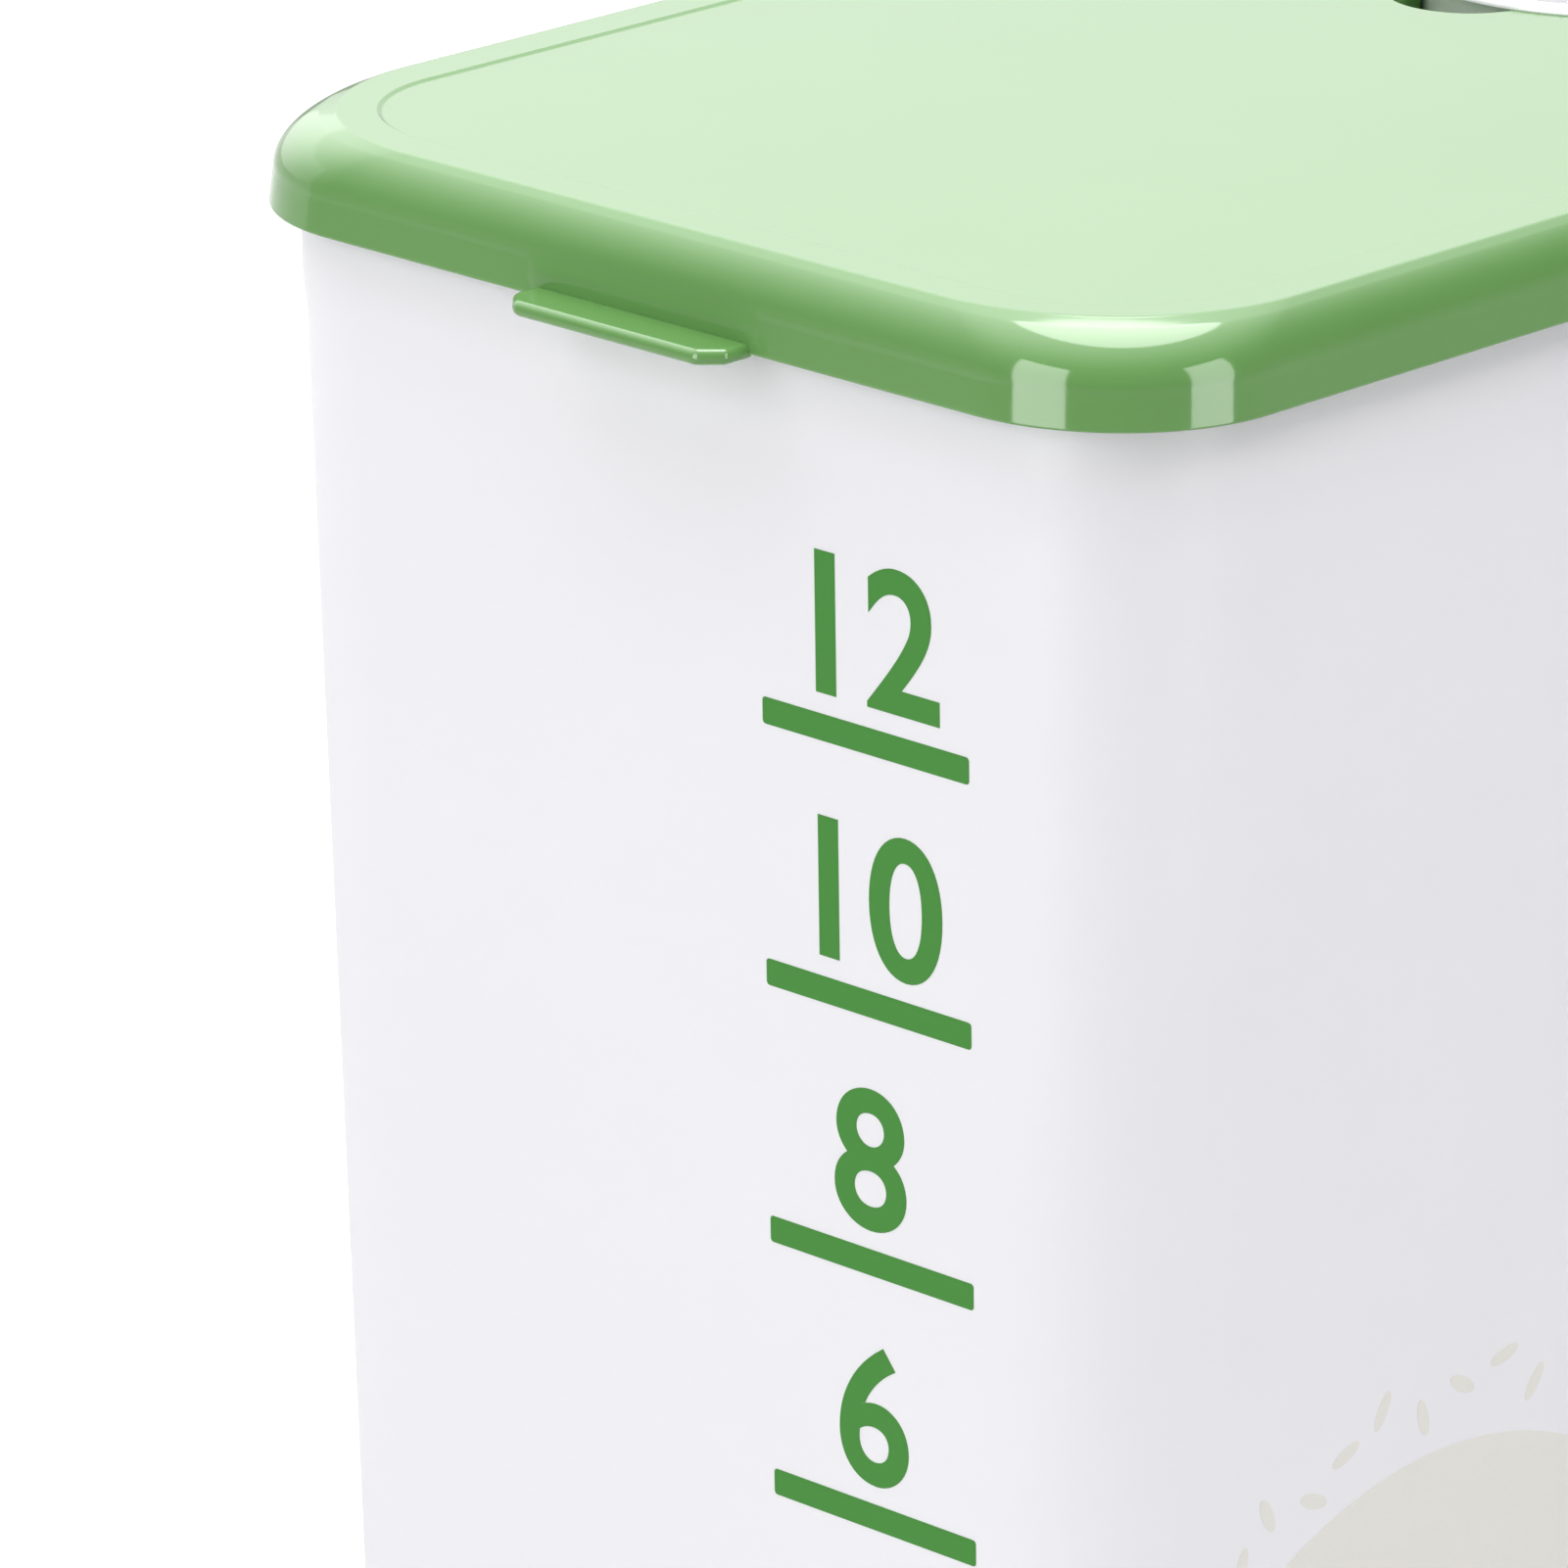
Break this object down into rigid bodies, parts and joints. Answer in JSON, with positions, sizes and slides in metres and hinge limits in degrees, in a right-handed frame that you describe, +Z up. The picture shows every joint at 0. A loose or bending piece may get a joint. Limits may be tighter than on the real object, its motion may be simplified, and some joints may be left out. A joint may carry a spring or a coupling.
{
  "type": "rice bin with flip lid",
  "caption": "Tapered plastic rice bin with a flip-up lid hinged at the rear, a lift tab, a seal and a measuring cup held in a well in the lid.",
  "frame": {"origin": "centre of the base, on the surface that the feet stand on, midway between the tab's tip and the hinge's rear", "axes": "+Z up, the front with the lift tab faces -Y, +X is the right side seen from the front"},
  "size_m": [0.205, 0.3246, 0.3405],
  "materials": {
    "tub_plastic": "satin moulded polypropylene, slightly translucent white",
    "lid_plastic": "glossy moulded polypropylene, pale green",
    "seal_rubber": "soft translucent silicone",
    "cup_plastic": "glossy white plastic",
    "pin_steel": "drawn stainless steel",
    "foot_rubber": "soft grey rubber"
  },
  "bodies": {
    "bin": {"bin_body": "tub_plastic", "hinge_pin_left": "pin_steel", "hinge_pin_right": "pin_steel", "foot_pad_front_left": "foot_rubber", "foot_pad_front_right": "foot_rubber", "foot_pad_rear_left": "foot_rubber", "foot_pad_rear_right": "foot_rubber"},
    "lid": {"flip_lid": "lid_plastic", "lid_seal": "seal_rubber"},
    "cup": {"measuring_cup": "cup_plastic"}
  },
  "joints": [
    {"name": "lid_hinge", "type": "hinge", "parent": "bin", "child": "lid", "pos_m": [0, 0.15571, 0.3216], "axis": [-1, 0, 0], "range_deg": [0, 110]},
    {"name": "cup_lift", "type": "slide", "parent": "lid", "child": "cup", "axis": [0, 0, 1], "range_m": [0, 0.09]}
  ]
}
